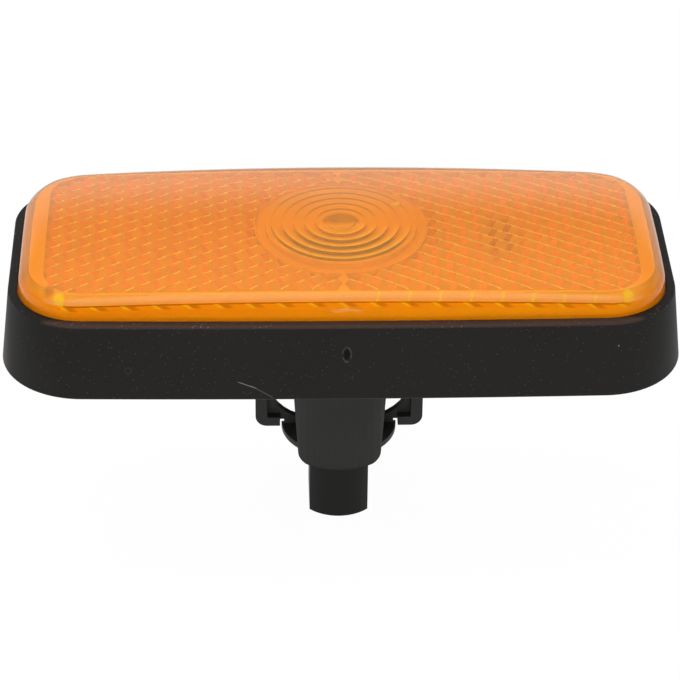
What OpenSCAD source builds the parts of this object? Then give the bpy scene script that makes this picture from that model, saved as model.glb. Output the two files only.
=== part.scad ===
// Side repeater lamp. An amber reflex lens and its tray sit in a black rubber surround,
// and a twist-in holder at the back carries a capless bulb and a two-pin plug socket.
// Millimetres. The surround seats on the car's panel at z = 0 and the lens looks along +Z.

/* [Lens] */
// Length of the lens at its base
lens_l = 120; // [112:0.5:130]
// Width of the lens across its middle
lens_w = 49.2; // [47:0.1:54]
// Corner radius of the lens outline
lens_r = 12.2; // [9:0.1:14]
// How far each long side bows out
side_bow = 0.5; // [0.1:0.05:1]
// Height of the lens above the surround, at its middle
lens_rise = 7.1; // [6.8:0.1:8.5]
// How much lower the lens is at its two ends
crown = 0.8; // [0.2:0.05:1]
// Radius of the rounded top edge
edge_r = 4; // [2.5:0.1:4.5]
// How far the lens wall leans in by its rounded edge
lens_draft = 0.3; // [0.1:0.05:0.5]
// Wall of the lens
lens_wall = 2.4; // [2:0.1:2.8]
// Thickness of the lens top at its middle
top_wall = 2.4; // [2:0.1:3]

/* [Reflex prisms] */
// Size of a prism across its flats
prism = 3.4; // [3:0.1:5]
// Clear strip between the lens's side walls and the prisms
side_margin = 1.2; // [0.8:0.1:3]
// Clear strip between the lens's end walls and the prisms
end_margin = 3.2; // [1:0.1:6]
// Clear strip between the round optic and the prisms
optic_margin = 0.15; // [0.1:0.05:1]
// Gap between the two mirrored fields
field_gap = 0.3; // [0.2:0.05:1]
// Solid layer that the prisms stand on
prism_base = 0.15; // [0.1:0.05:0.4]

/* [Ring optic] */
// Radius of the round optic in front of the bulb
optic_r = 16.1; // [14:0.1:17]
// Number of ring grooves
rings = 5; // [3:1:5]
// Radius of the smallest groove
ring_r = 3; // [2.5:0.1:4]
// Distance from one groove to the next
ring_pitch = 2.1; // [1.8:0.05:2.2]
// Depth of a groove
ring_depth = 0.5; // [0.3:0.05:0.8]
// Thickness of the round optic below the lens top
optic_t = 0.9; // [0.9:0.1:1.5]

/* [Rubber surround] */
// Height of the surround over the panel
surround_h = 15.1; // [14.5:0.1:18]
// How far its foot stands out past the lens
flare = 3.3; // [2.8:0.1:4.5]
// Width of the lip round the lens
lip_w = 1.75; // [1.4:0.05:2.2]
// Radius of the lip's edge
lip_r = 0.35; // [0.2:0.05:0.5]
// Radius of the foot's outer edge
foot_r = 0.6; // [0.3:0.05:1]
// Thickness of the outer rubber wall at its foot
rubber_wall = 2.4; // [2:0.1:2.8]
// Width of the relief channel between the two feet
channel_w = 1.4; // [1:0.1:1.6]
// Width of the inner rubber foot
inner_foot = 1.4; // [1:0.1:1.8]
// Depth of the relief channel
channel_h = 5.8; // [4:0.1:6.5]
// Clearance between the rubber and what it holds
rubber_fit = 0.1; // [0.05:0.05:0.2]

/* [Flanges] */
// Thickness of the lens's foot flange
lens_flange_t = 1.5; // [1.2:0.1:2]
// Thickness of the tray's flange
tray_flange_t = 1.5; // [1.2:0.1:2]
// How far both flanges stand out past the lens
flange_out = 0.8; // [0.5:0.1:1]
// Height of the lip above the flange pair
lip_h = 3.5; // [3:0.1:4]

/* [Tray] */
// Wall and floor of the tray
tray_wall = 1.8; // [1.4:0.1:2.2]
// Gap between the tray's shelf and the panel
shelf_gap = 0.8; // [0.5:0.1:1.5]
// Length of the spigot that goes through the panel
spigot_l = 100; // [90:0.5:104]
// Width of the spigot
spigot_w = 36; // [34:0.5:40]
// Corner radius of the spigot
spigot_r = 6; // [4:0.5:8]
// How far the spigot reaches behind the panel face
spigot_h = 5; // [4.6:0.1:5.5]
// Outer radius of the boss round the holder
boss_r = 12; // [11.6:0.1:13]
// How far the boss stands behind the spigot's floor
boss_h = 1.8; // [1.2:0.1:2]

/* [Panel catches] */
// Thickness of the panel that the catches grip
panel_t = 0.9; // [0.7:0.1:1.2]
// Gap between the panel and the catches
catch_gap = 0.4; // [0.2:0.05:0.6]
// How far each catch reaches out under the panel
catch_out = 3.2; // [2.5:0.1:4]
// Width of each catch
catch_w = 9; // [7:0.5:12]
// Thickness of the fixed hook
hook_t = 1.8; // [1.4:0.1:2.2]
// Thickness of the spring steel
steel_t = 0.5; // [0.3:0.05:0.6]
// Radius of the peg that holds the spring
peg_r = 0.9; // [0.7:0.1:1]
// Radius of the peg's flattened head
peg_head_r = 1.5; // [1.3:0.1:1.6]
// Thickness of the peg's head
peg_head_t = 0.6; // [0.4:0.1:0.8]
// Clearance round the peg
peg_fit = 0.1; // [0.05:0.05:0.2]
// Room inside the spring's fold, over the peg's head
fold_gap = 0.9; // [0.7:0.05:1.2]

/* [Holder top] */
// Outer radius of the holder's neck
neck_r = 8.2; // [7.8:0.1:8.6]
// Clearance between the neck and the boss
neck_fit = 0.2; // [0.1:0.05:0.3]
// How far the locking lugs reach past the neck
lug_out = 1.9; // [1.4:0.1:2.2]
// Width of a locking lug
lug_w = 3; // [2.4:0.1:3.6]
// Thickness of a locking lug
lug_t = 1.5; // [1.2:0.1:2]
// Height of the neck above its lugs
neck_over = 0.4; // [0.2:0.1:0.8]
// Clearance between the lugs and their seat
lug_fit = 0.1; // [0.05:0.05:0.2]
// How far the holder is turned to lock, in degrees
lock_turn = 50; // [35:5:60]
// Thickness of the seal between boss and flange
seal_t = 1.4; // [1:0.1:2]
// Width of the seal
seal_w = 2.6; // [2:0.1:3]
// Length of the holder's flange, across the wings
flange_l = 32.8; // [32.5:0.1:34]
// Width of the holder's flange, across its flats
flange_w = 22.8; // [22:0.1:23]
// Thickness of the holder's flange
flange_t = 2; // [1.6:0.1:2.4]

/* [Holder grip] */
// Width across the outer faces of the wings
wing_span = 32.3; // [31.6:0.1:33]
// Height of the wings below the panel face
wing_z = 22.6; // [22:0.1:23.6]
// Width of a wing's outer leg
leg_w = 2.3; // [1.8:0.1:2.5]
// Height of a wing's bottom bar
bar_h = 1.9; // [1.4:0.1:2.2]
// Distance of a wing's bar from the middle, at its inner end
bar_in = 11.4; // [11.2:0.1:12]
// Depth of the legs and bars, front to back
leg_d = 5; // [3.4:0.1:6]
// Thickness of the web between them
web_t = 1.4; // [1:0.1:2]
// Radius of a wing's lower corner
wing_r = 2.2; // [1:0.1:2.3]
// Radius of the window cut in each web
window_r = 9; // [8:0.1:9.4]
// Height of the window's centre below the panel face
window_z = 13.3; // [13:0.1:13.6]
// How far the pad in front of the webs reaches below the wings
pad_drop = 2; // [0.8:0.1:2.4]
// Radius of the half-round pad
pad_r = 11.1; // [10.6:0.05:11.5]
// Height of the pad
pad_h = 1.5; // [1.2:0.1:2.4]
// Radius of the pad's lower edge
pad_edge_r = 0.5; // [0.3:0.1:0.8]

/* [Holder barrel] */
// Width of the barrel under the flange
barrel_w = 18.1; // [17.6:0.1:19]
// Width of the barrel at its lower end
barrel_low_w = 16; // [15.8:0.1:17]
// Depth of the barrel, front to back
barrel_d = 22.4; // [21:0.1:23]
// Radius of the barrel's rounded front and back
barrel_face_r = 11.2; // [11:0.1:20]
// Depth of the barrel's lower end below the panel face
barrel_z = 27.1; // [26.5:0.1:28.5]
// Radius of the barrel's lower corners
barrel_r = 1.9; // [1.2:0.1:2.4]

/* [Plug socket] */
// Outer radius of the socket's shell
socket_r = 7.85; // [7.6:0.05:8]
// Width of the shell across its flats
socket_w = 11.35; // [11:0.05:11.8]
// Depth of the shell's mouth below the panel face
socket_z = 40.3; // [38.5:0.1:42]
// Wall of the shell
socket_wall = 1.15; // [1:0.05:1.3]
// Thickness of the socket's floor below the barrel's end
socket_floor = 0.8; // [0.5:0.1:1.5]

/* [Bulb] */
// Length of the bulb
bulb_l = 26.8; // [25:0.1:27]
// Diameter of the glass
bulb_d = 9.4; // [8.8:0.1:9.8]
// Thickness of the glass
glass_t = 0.6; // [0.4:0.05:0.8]
// Depth of the bulb's lower end below the panel face
bulb_z = 12.5; // [12.2:0.1:13.5]
// Height of the flat base
base_h = 6.5; // [6:0.1:7]
// Width of the flat base
base_w = 9.2; // [8.8:0.1:9.5]
// Thickness of the flat base
base_t = 2.1; // [1.9:0.1:2.4]
// Height of the shoulder between base and glass tube
shoulder_h = 2.6; // [2:0.1:3.2]
// Radius of the lead wires
wire_r = 0.2; // [0.15:0.05:0.3]
// Distance between the two lead wires
wire_span = 4.8; // [4.2:0.1:5.4]
// Height of the filament above the panel face
filament_z = 5.5; // [4:0.1:7]
// Radius of the coiled filament
filament_r = 0.3; // [0.2:0.05:0.4]
// How far the wire ends are folded up the flat base
fold_h = 4; // [3:0.1:5]
// How far the lead wires reach past the filament
wire_tip = 0.5; // [0.4:0.1:1]
// Clearance round the wires in the glass
wire_fit = 0.03; // [0.02:0.01:0.05]

/* [Contacts] */
// Thickness of a contact leaf
leaf_t = 0.4; // [0.3:0.05:0.5]
// Width of a contact leaf
leaf_w = 3.4; // [3:0.1:3.8]
// Height of a contact leaf
leaf_h = 5.6; // [5:0.1:6]
// Distance of the contacts from the bulb's centre line
leaf_y = 2.75; // [2.4:0.05:3]
// Width of a plug pin
pin_w = 2; // [1.8:0.1:2.2]
// Thickness of a plug pin
pin_t = 0.8; // [0.6:0.1:0.8]
// Distance of each pin's centre from the holder's axis
pin_y = 3.2; // [3.1:0.05:3.3]
// How far the pins end inside the socket's mouth
pin_depth = 2; // [1:0.1:4]
// Clearance between the bulb's base and the ends of its slot
slot_fit = 0.3; // [0.2:0.05:0.5]
// Clearance between the bulb's glass and the neck
cup_fit = 0.9; // [0.5:0.1:1]
// Clearance under the bulb's shoulder
shoulder_fit = 0.3; // [0.1:0.05:0.5]
// Clearance round the contacts
contact_fit = 0.05; // [0.03:0.01:0.1]

/* [Hidden] */

amber = [1, 0.5, 0.05, 0.75];
black_rubber = [0.13, 0.13, 0.13];
black_plastic = [0.09, 0.09, 0.095];
white_plastic = [0.9, 0.9, 0.88];
clear_glass = [0.85, 0.9, 0.95, 0.35];

corner_steps = 7;
side_steps = 6;
edge_steps = 5;
face_steps = 7;
small_steps = 3;
round_fn = 64;
small_fn = 32;
bite = 0.4;

// Heights, from the lens down to the tray
lens_top_z = surround_h + lens_rise;
inner_top_z = lens_top_z - top_wall;
flange_top_z = surround_h - lip_h;
lens_foot_z = flange_top_z - lens_flange_t;
tray_flange_z = lens_foot_z - tray_flange_t;
tray_floor_z = tray_wall - spigot_h;
shelf_top_z = shelf_gap + tray_wall;

// Insets from the lens outline
outer_wall_in = rubber_wall - flare;
rubber_in = outer_wall_in + channel_w + inner_foot;
shelf_out = rubber_in + rubber_fit;

// Heights of the holder
boss_z = -spigot_h - boss_h;
holder_z = boss_z - seal_t;
grip_z = holder_z - flange_t;
lug_z = tray_floor_z + lug_fit;
neck_z = lug_z + lug_t + neck_over;
leg_x = wing_span / 2 - leg_w;
wing_root = barrel_low_w / 2 - barrel_r;
pad_z = -wing_z - pad_drop;
// The web between the wings ends in the pad, or behind the bars where the pad is higher
web_z = min(pad_z + pad_h, -wing_z) - bite;
cup_r = bulb_d / 2 + cup_fit;
bore_r = neck_r + neck_fit;
notch_r = neck_r + lug_out + neck_fit;

// The bulb stands on its wires, and its base is held between the contact leaves
base_z = -bulb_z;
glass_low_z = base_z + base_h;
glass_r = bulb_d / 2;
cup_z = glass_low_z - bite - shoulder_fit;
wire_gap = wire_r + wire_fit;
leaf_x = base_t / 2 + 2 * wire_gap;
contact_z = base_z - 2 * wire_gap;
slot_x = leaf_x + leaf_t + contact_fit;
slot_y = base_w / 2 + slot_fit;
slot_z = contact_z - leaf_t - contact_fit;
socket_roof_z = -barrel_z - socket_floor;

// The catches grip under the panel, at the two ends of the spigot
catch_z = -panel_t - catch_gap;
spigot_end = spigot_l / 2;
peg_z = (catch_z + steel_t - spigot_h) / 2;

// Outline of the lens, drawn in by t, as a closed list of points
function arc(cx, cy, r, from, to, steps) =
    [for (i = [0 : steps]) let (a = from + (to - from) * i / steps) [cx + r * cos(a), cy + r * sin(a)]];
function side(cx, half, s) =
    [for (i = [1 : side_steps - 1])
        let (f = 1 - 2 * i / side_steps) [s * cx * f, s * (half + side_bow * (1 - f * f))]];
function outline(t) =
    let (r = lens_r - t,
         cx = lens_l / 2 - lens_r,
         half = lens_w / 2 - side_bow - t,
         cy = half - r)
    concat(
        arc(cx, cy, r, 0, 90, corner_steps),
        side(cx, half, 1),
        arc(-cx, cy, r, 90, 180, corner_steps),
        arc(-cx, -cy, r, 180, 270, corner_steps),
        side(cx, half, -1),
        arc(cx, -cy, r, 270, 360, corner_steps));
outline_n = len(outline(0));

function round_rect(l, w, r) =
    let (x = l / 2 - r, y = w / 2 - r)
    concat(arc(x, y, r, 0, 90, corner_steps), arc(-x, y, r, 90, 180, corner_steps),
           arc(-x, -y, r, 180, 270, corner_steps), arc(x, -y, r, 270, 360, corner_steps));

// A ring is an outline drawn in by t at height z, lowered towards the ends by share c of the crown
function ring_points(t, z, c) = [for (p = outline(t)) [p[0], p[1], z - c * crown * pow(2 * p[0] / lens_l, 2)]];
function band(n, a, b) =
    [for (k = [0 : n - 1]) let (m = (k + 1) % n)
        each [[a * n + k, b * n + k, b * n + m], [a * n + k, b * n + m, a * n + m]]];
function flat_cap(n) = [[for (k = [0 : n - 1]) k]];
function crowned_cap(n, a) =
    [for (k = [0 : n / 2 - 2]) [a * n + n - 1 - k, a * n + n - 2 - k, a * n + k + 1, a * n + k]];

// Lofts through rings, capped at both ends or closed into a hoop
module loft(rings) {
    last = len(rings) - 1;
    polyhedron(
        points = [for (r = rings) each ring_points(r[0], r[1], r[2])],
        faces = concat(flat_cap(outline_n),
                       [for (a = [0 : last - 1]) each band(outline_n, a, a + 1)],
                       crowned_cap(outline_n, last)));
}
module hoop(section) {
    count = len(section);
    polyhedron(
        points = [for (r = section) each ring_points(r[0], r[1], 0)],
        faces = [for (a = [0 : count - 1]) each band(outline_n, a, (a + 1) % count)]);
}

module slab(t, low, high) {
    translate([0, 0, low]) linear_extrude(high - low) polygon(outline(t));
}
module column(points, low, high) {
    translate([0, 0, low]) linear_extrude(high - low) polygon(points);
}
// A profile drawn in X and Z, given a depth along Y and centred there
module profile(points, depth) {
    rotate([90, 0, 0]) linear_extrude(depth, center = true) polygon(points);
}
module block(x0, x1, y0, y1, z0, z1) {
    translate([x0, y0, z0]) cube([x1 - x0, y1 - y0, z1 - z0]);
}
module disc(r, low, high, fn = round_fn) {
    translate([0, 0, low]) cylinder(h = high - low, r = r, $fn = fn);
}
module both_ways() {
    children();
    mirror([1, 0, 0]) children();
}

// Reflex field: cube corners on a lattice of u, v half-steps, in whole hexagonal cells.
// A cell's tip is its middle, and its corners lie one and two steps of height above it in turn.
cell_side = prism / sqrt(3);
step_h = cell_side / sqrt(2);
peak_z = inner_top_z - prism_base;
tip_z = peak_z - 2 * step_h;
field_x = lens_l / 2 - lens_wall - end_margin;
field_y = lens_w / 2 - side_bow - lens_wall - side_margin;
field_r = lens_r - lens_wall - end_margin;
first_x = -cell_side - field_gap / 2;
columns = floor((field_x + first_x) / (1.5 * cell_side)) + 1;
rows = floor(field_y / prism) + 1;
corner_uv = [[2, 0], [1, 1], [-1, 1], [-2, 0], [-1, -1], [1, -1]];
beside_uv = [[3, 1], [0, 2], [-3, 1], [-3, -1], [0, -2], [3, -1]];

function spot(u, v) = [first_x + u * cell_side / 2, v * prism / 2];
function in_field(p) =
    let (dx = max(abs(p[0]) - field_x + field_r, 0), dy = max(abs(p[1]) - field_y + field_r, 0))
    norm([dx, dy]) <= field_r && norm(p) >= optic_r + optic_margin;
function is_cell(u, v) =
    u <= 0 && min([for (c = corner_uv) in_field(spot(u + c[0], v + c[1])) ? 1 : 0]) == 1;
function at_height(p, z) = [p[0], p[1], z];
cells = [for (n = [0 : columns], j = [-rows : rows])
            let (u = -3 * n, v = 2 * j + n % 2) if (is_cell(u, v)) [u, v]];
// Each cell lists its tip, its six lower corners and the six corners of its top
function cell_points(u, v) =
    let (c = [for (d = corner_uv) spot(u + d[0], v + d[1])])
    concat([at_height(spot(u, v), tip_z)],
           [for (k = [0 : 5]) at_height(c[k], tip_z + step_h * (1 + k % 2))],
           [for (k = [0 : 5]) at_height(c[k], inner_top_z + bite)]);
cell_n = len(cell_points(0, 0));
function cell_faces(u, v, at) = concat(
    [for (k = [0, 2, 4]) [at, at + 1 + k, at + 2 + k, at + 1 + (k + 2) % 6]],
    [[for (k = [5 : -1 : 0]) at + 7 + k]],
    [for (k = [0 : 5]) let (m = (k + 1) % 6)
        if (!is_cell(u + beside_uv[k][0], v + beside_uv[k][1]))
            [at + 1 + k, at + 7 + k, at + 7 + m, at + 1 + m]]);

module prism_field() {
    polyhedron(
        points = [for (c = cells) each cell_points(c[0], c[1])],
        faces = [for (i = [0 : len(cells) - 1]) each cell_faces(cells[i][0], cells[i][1], i * cell_n)]);
}

// Round optic: saw-tooth ring grooves, steps facing inward, round a domed middle
module ring_optic() {
    face_z = inner_top_z - optic_t;
    rotate_extrude($fn = round_fn) polygon(concat(
        [[0, inner_top_z + bite]],
        [for (i = [0 : small_steps - 1]) let (f = i / small_steps) [ring_r * f, face_z + ring_depth * f * f]],
        [for (i = [0 : rings - 1]) let (r = ring_r + i * ring_pitch) each [[r, face_z + ring_depth], [r, face_z]]],
        [[optic_r - optic_t / 2, face_z], [optic_r, face_z + optic_t / 2], [optic_r, inner_top_z + bite]]));
}

module lens_shell() {
    loft(concat(
        [[lens_wall, inner_top_z, 0], [lens_wall, lens_foot_z, 0], [-flange_out, lens_foot_z, 0],
         [-flange_out, flange_top_z, 0], [0, flange_top_z, 0], [0, surround_h, 0]],
        [for (i = [0 : edge_steps]) let (a = 90 * i / edge_steps)
            [lens_draft + edge_r * (1 - cos(a)), lens_top_z - edge_r * (1 - sin(a)), 1]]));
}

module lens() {
    color(amber) {
        lens_shell();
        both_ways() prism_field();
        ring_optic();
    }
}

module gasket() {
    groove_out = -flange_out - rubber_fit;
    foot = [for (i = [small_steps : -1 : 0]) let (a = 90 * i / small_steps)
        [foot_r - flare - foot_r * cos(a), foot_r - foot_r * sin(a)]];
    lip = [for (i = [0 : small_steps]) let (a = 90 * i / small_steps)
        [lip_r - lip_w - lip_r * cos(a), surround_h - lip_r + lip_r * sin(a)]];
    color(black_rubber) hoop(concat(
        [[-rubber_fit, surround_h], [-rubber_fit, flange_top_z + rubber_fit],
         [groove_out, flange_top_z + rubber_fit], [groove_out, tray_flange_z - rubber_fit],
         [rubber_in, tray_flange_z - rubber_fit], [rubber_in, 0],
         [rubber_in - inner_foot, 0], [rubber_in - inner_foot, channel_h],
         [outer_wall_in, channel_h], [outer_wall_in, 0]],
        foot, lip));
}

module fixed_hook() {
    profile([[bite - spigot_end, catch_z], [-spigot_end - catch_out, catch_z],
             [-spigot_end - catch_out, catch_z - hook_t / 2], [-spigot_end, catch_z - hook_t],
             [bite - spigot_end, catch_z - hook_t]], catch_w);
}
module spring_peg() {
    translate([spigot_end - bite, 0, peg_z]) rotate([0, 90, 0]) {
        cylinder(h = bite + steel_t + peg_head_t / 2, r = peg_r, $fn = small_fn);
        translate([0, 0, bite + steel_t]) cylinder(h = peg_head_t, r = peg_head_r, $fn = small_fn);
    }
}
module lug_notches() {
    rotate([0, 0, lock_turn])
        block(-lug_w / 2 - neck_fit, lug_w / 2 + neck_fit, -notch_r, notch_r, boss_z - 1, tray_floor_z + 1);
}

module housing() {
    color(white_plastic) {
        difference() {
            union() {
                slab(-flange_out, tray_flange_z, lens_foot_z);
                slab(shelf_out, shelf_gap, lens_foot_z);
                column(round_rect(spigot_l, spigot_w, spigot_r), -spigot_h, shelf_top_z);
                disc(boss_r, boss_z, tray_floor_z);
            }
            slab(shelf_out + tray_wall, shelf_top_z, lens_foot_z + 1);
            column(round_rect(spigot_l - 2 * tray_wall, spigot_w - 2 * tray_wall, spigot_r - tray_wall),
                   tray_floor_z, shelf_top_z + 1);
            disc(bore_r, boss_z - 1, tray_floor_z + 1);
            intersection() {
                lug_notches();
                disc(notch_r, boss_z - 1, tray_floor_z + 1);
            }
        }
        fixed_hook();
        spring_peg();
    }
}

module retaining_spring() {
    fold_x = spigot_end + steel_t + fold_gap;
    tip_x = spigot_end + catch_out;
    color("silver") difference() {
        profile([[spigot_end, catch_z], [spigot_end, -spigot_h], [fold_x + steel_t, -spigot_h],
                 [tip_x, catch_z], [tip_x - steel_t, catch_z],
                 [fold_x, steel_t - spigot_h], [spigot_end + steel_t, steel_t - spigot_h],
                 [spigot_end + steel_t, catch_z]], catch_w);
        translate([spigot_end - 1, 0, peg_z]) rotate([0, 90, 0])
            cylinder(h = steel_t + 1 + fold_gap / 2, r = peg_r + peg_fit, $fn = small_fn);
    }
}

module holder_seal() {
    color(black_rubber) difference() {
        disc(bore_r + seal_w, holder_z, boss_z);
        disc(bore_r, holder_z - 1, boss_z + 1);
    }
}

// Holder, from the neck down to the plug socket
module holder_neck() {
    disc(neck_r, holder_z - bite, neck_z);
    intersection() {
        block(-lug_w / 2, lug_w / 2, -boss_r, boss_r, lug_z, lug_z + lug_t);
        disc(neck_r + lug_out, lug_z, lug_z + lug_t);
    }
    intersection() {
        disc(flange_l / 2, grip_z, holder_z);
        block(-flange_l, flange_l, -flange_w / 2, flange_w / 2, grip_z, holder_z);
    }
}

function face_arc(s) =
    [for (i = [-face_steps : face_steps]) let (x = i * barrel_w / 2 / face_steps)
        [s * x, s * (barrel_d / 2 - barrel_face_r + sqrt(barrel_face_r * barrel_face_r - x * x))]];
module barrel() {
    low = barrel_low_w / 2 - barrel_r;
    intersection() {
        column(concat(face_arc(-1), face_arc(1)), -barrel_z, grip_z + bite);
        profile(concat(
            [[barrel_w / 2, grip_z + bite], [-barrel_w / 2, grip_z + bite]],
            arc(-low, barrel_r - barrel_z, barrel_r, 180, 270, corner_steps),
            arc(low, barrel_r - barrel_z, barrel_r, 270, 360, corner_steps)), 2 * barrel_d);
    }
}

module wing() {
    out = wing_span / 2;
    profile(concat(
        [[leg_x, grip_z + bite], [leg_x, bar_h - wing_z], [bar_in, bar_h - wing_z], [bar_in, -wing_z]],
        arc(out - wing_r, wing_r - wing_z, wing_r, 270, 360, corner_steps),
        [[out, grip_z + bite]]), leg_d);
    profile(concat(
        [[wing_root, web_z], [pad_r - pad_edge_r, web_z], [pad_r - pad_edge_r, bite - wing_z],
         [leg_x + bite, bite - wing_z], [leg_x + bite, -window_z]],
        arc(leg_x - window_r, -window_z, window_r, 0, -90, corner_steps + 2),
        [[wing_root, -window_z - window_r]]), web_t);
}

module half_pad() {
    rotate([0, 0, 180]) rotate_extrude(angle = 180, $fn = round_fn) polygon(concat(
        [[0, pad_z + pad_h], [0, pad_z]],
        arc(pad_r - pad_edge_r, pad_z + pad_edge_r, pad_edge_r, 270, 360, small_steps + 1),
        [[pad_r, pad_z + pad_h]]));
}

module flat_sided(r, w, low, high) {
    intersection() {
        disc(r, low, high);
        block(-w / 2, w / 2, -r - 1, r + 1, low, high);
    }
}

module pin_channels() {
    for (s = [-1, 1])
        block(-pin_t / 2 - contact_fit, pin_t / 2 + contact_fit,
              s * pin_y - pin_w / 2 - contact_fit, s * pin_y + pin_w / 2 + contact_fit,
              socket_roof_z - 1, slot_z + 1);
}

module bulb_holder() {
    color(black_plastic) difference() {
        union() {
            holder_neck();
            barrel();
            both_ways() wing();
            half_pad();
            flat_sided(socket_r, socket_w, -socket_z, bite - barrel_z);
        }
        disc(cup_r, cup_z, neck_z + 1);
        block(-slot_x, slot_x, -slot_y, slot_y, slot_z, cup_z + 1);
        pin_channels();
        flat_sided(socket_r - socket_wall, socket_w - 2 * socket_wall, -socket_z - 1, socket_roof_z);
    }
}

// One stamped strip: two leaves on the bulb's flat base, a floor under it and a pin in the socket
module contact() {
    for (s = [-1, 1])
        block(min(s * leaf_x, s * (leaf_x + leaf_t)), max(s * leaf_x, s * (leaf_x + leaf_t)),
              leaf_y - leaf_w / 2, leaf_y + leaf_w / 2, contact_z - leaf_t, contact_z + leaf_h);
    block(-leaf_x - leaf_t, leaf_x + leaf_t, leaf_y - leaf_w / 2, leaf_y + leaf_w / 2,
          contact_z - leaf_t, contact_z);
    block(-pin_t / 2, pin_t / 2, pin_y - pin_w / 2, pin_y + pin_w / 2,
          pin_depth - socket_z, contact_z - leaf_t / 2);
}
module front_contact() {
    color("goldenrod") mirror([0, 1, 0]) contact();
}
module rear_contact() {
    color("goldenrod") contact();
}

module bulb_glass() {
    top = base_z + bulb_l;
    low = glass_low_z;
    tube_z = low + shoulder_h;
    inner = glass_r - glass_t;
    dome_z = top - glass_r;
    color(clear_glass) difference() {
        union() {
            rotate_extrude($fn = round_fn) polygon(concat(
                [[0, low - bite], [glass_r / 2, low - bite], [glass_r, tube_z]],
                arc(0, dome_z, glass_r, 0, 90, corner_steps + 2),
                arc(0, dome_z, inner, 90, 0, corner_steps + 2),
                [[inner, tube_z + glass_t / 2], [inner / 2, low + glass_t], [0, low + glass_t]]));
            block(-base_t / 2, base_t / 2, -base_w / 2, base_w / 2, base_z, low);
        }
        for (s = [-1, 1])
            translate([0, s * wire_span / 2, base_z - 1])
                cylinder(h = base_h + shoulder_h, r = wire_gap, $fn = small_fn);
    }
}

module filament() {
    half = wire_span / 2 - wire_gap;
    color("gray") translate([0, half, filament_z]) rotate([90, 0, 0])
        cylinder(h = 2 * half, r = filament_r, $fn = small_fn);
}

// A lead wire is folded across under the flat base and up its face
module wire_run(from, to) {
    along = to - from;
    translate(from) rotate([0, atan2(along[0], along[2]), 0])
        cylinder(h = norm(along), r = wire_r, $fn = small_fn);
    translate(to) sphere(r = wire_r, $fn = small_fn);
}
module lead_wire() {
    under = base_z - wire_gap;
    face = base_t / 2 + wire_gap;
    translate([0, wire_span / 2, 0]) {
        wire_run([0, 0, filament_z + wire_tip], [0, 0, under]);
        wire_run([0, 0, under], [face, 0, under]);
        wire_run([face, 0, under], [face, 0, base_z + fold_h]);
    }
}
module front_lead_wire() {
    color("silver") rotate([0, 0, 180]) lead_wire();
}
module rear_lead_wire() {
    color("silver") lead_wire();
}

lens();
gasket();
housing();
retaining_spring();
holder_seal();
bulb_holder();
front_contact();
rear_contact();
bulb_glass();
filament();
front_lead_wire();
rear_lead_wire();
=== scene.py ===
import math
import bmesh
import bpy
from mathutils import Matrix, Vector


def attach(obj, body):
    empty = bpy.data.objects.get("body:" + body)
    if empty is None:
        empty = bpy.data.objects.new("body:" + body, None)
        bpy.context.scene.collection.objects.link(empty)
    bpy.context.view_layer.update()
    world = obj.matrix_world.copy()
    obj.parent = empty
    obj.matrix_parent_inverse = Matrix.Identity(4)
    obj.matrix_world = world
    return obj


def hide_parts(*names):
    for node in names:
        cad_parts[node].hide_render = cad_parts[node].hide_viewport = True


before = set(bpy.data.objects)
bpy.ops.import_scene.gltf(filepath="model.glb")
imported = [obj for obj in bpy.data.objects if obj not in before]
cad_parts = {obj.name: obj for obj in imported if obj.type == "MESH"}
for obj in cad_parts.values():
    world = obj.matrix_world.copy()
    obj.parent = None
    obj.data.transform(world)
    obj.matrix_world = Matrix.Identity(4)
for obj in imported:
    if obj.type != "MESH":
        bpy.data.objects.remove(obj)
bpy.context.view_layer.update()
scene = bpy.context.scene
mm = 0.001
print("frame loaded")


# Shader maths written as expressions on sockets
class Sock:
    def __init__(self, graph, socket):
        self.graph = graph
        self.socket = socket

    def math(self, operation, first, second=0.0):
        return self.graph.add("ShaderNodeMath", {"operation": operation}, {0: first, 1: second})

    def __add__(self, other):
        return self.math("ADD", self, other)

    def __sub__(self, other):
        return self.math("SUBTRACT", self, other)

    def __rsub__(self, other):
        return self.math("SUBTRACT", other, self)

    def __mul__(self, other):
        return self.math("MULTIPLY", self, other)

    def __truediv__(self, other):
        return self.math("DIVIDE", self, other)

    def __abs__(self):
        return self.math("ABSOLUTE", self)

    __radd__ = __add__
    __rmul__ = __mul__

    def power(self, other):
        return self.math("POWER", self, other)

    def most(self, other):
        return self.math("MAXIMUM", self, other)

    def fraction(self):
        return self.math("FRACT", self)

    def fade(self, start, end):  # 1 at start, falling to 0 at end, smooth between
        return self.graph.add("ShaderNodeMapRange", {"interpolation_type": "SMOOTHSTEP"},
                              {"Value": self, "From Min": start, "From Max": end, "To Min": 1.0, "To Max": 0.0})


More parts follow.
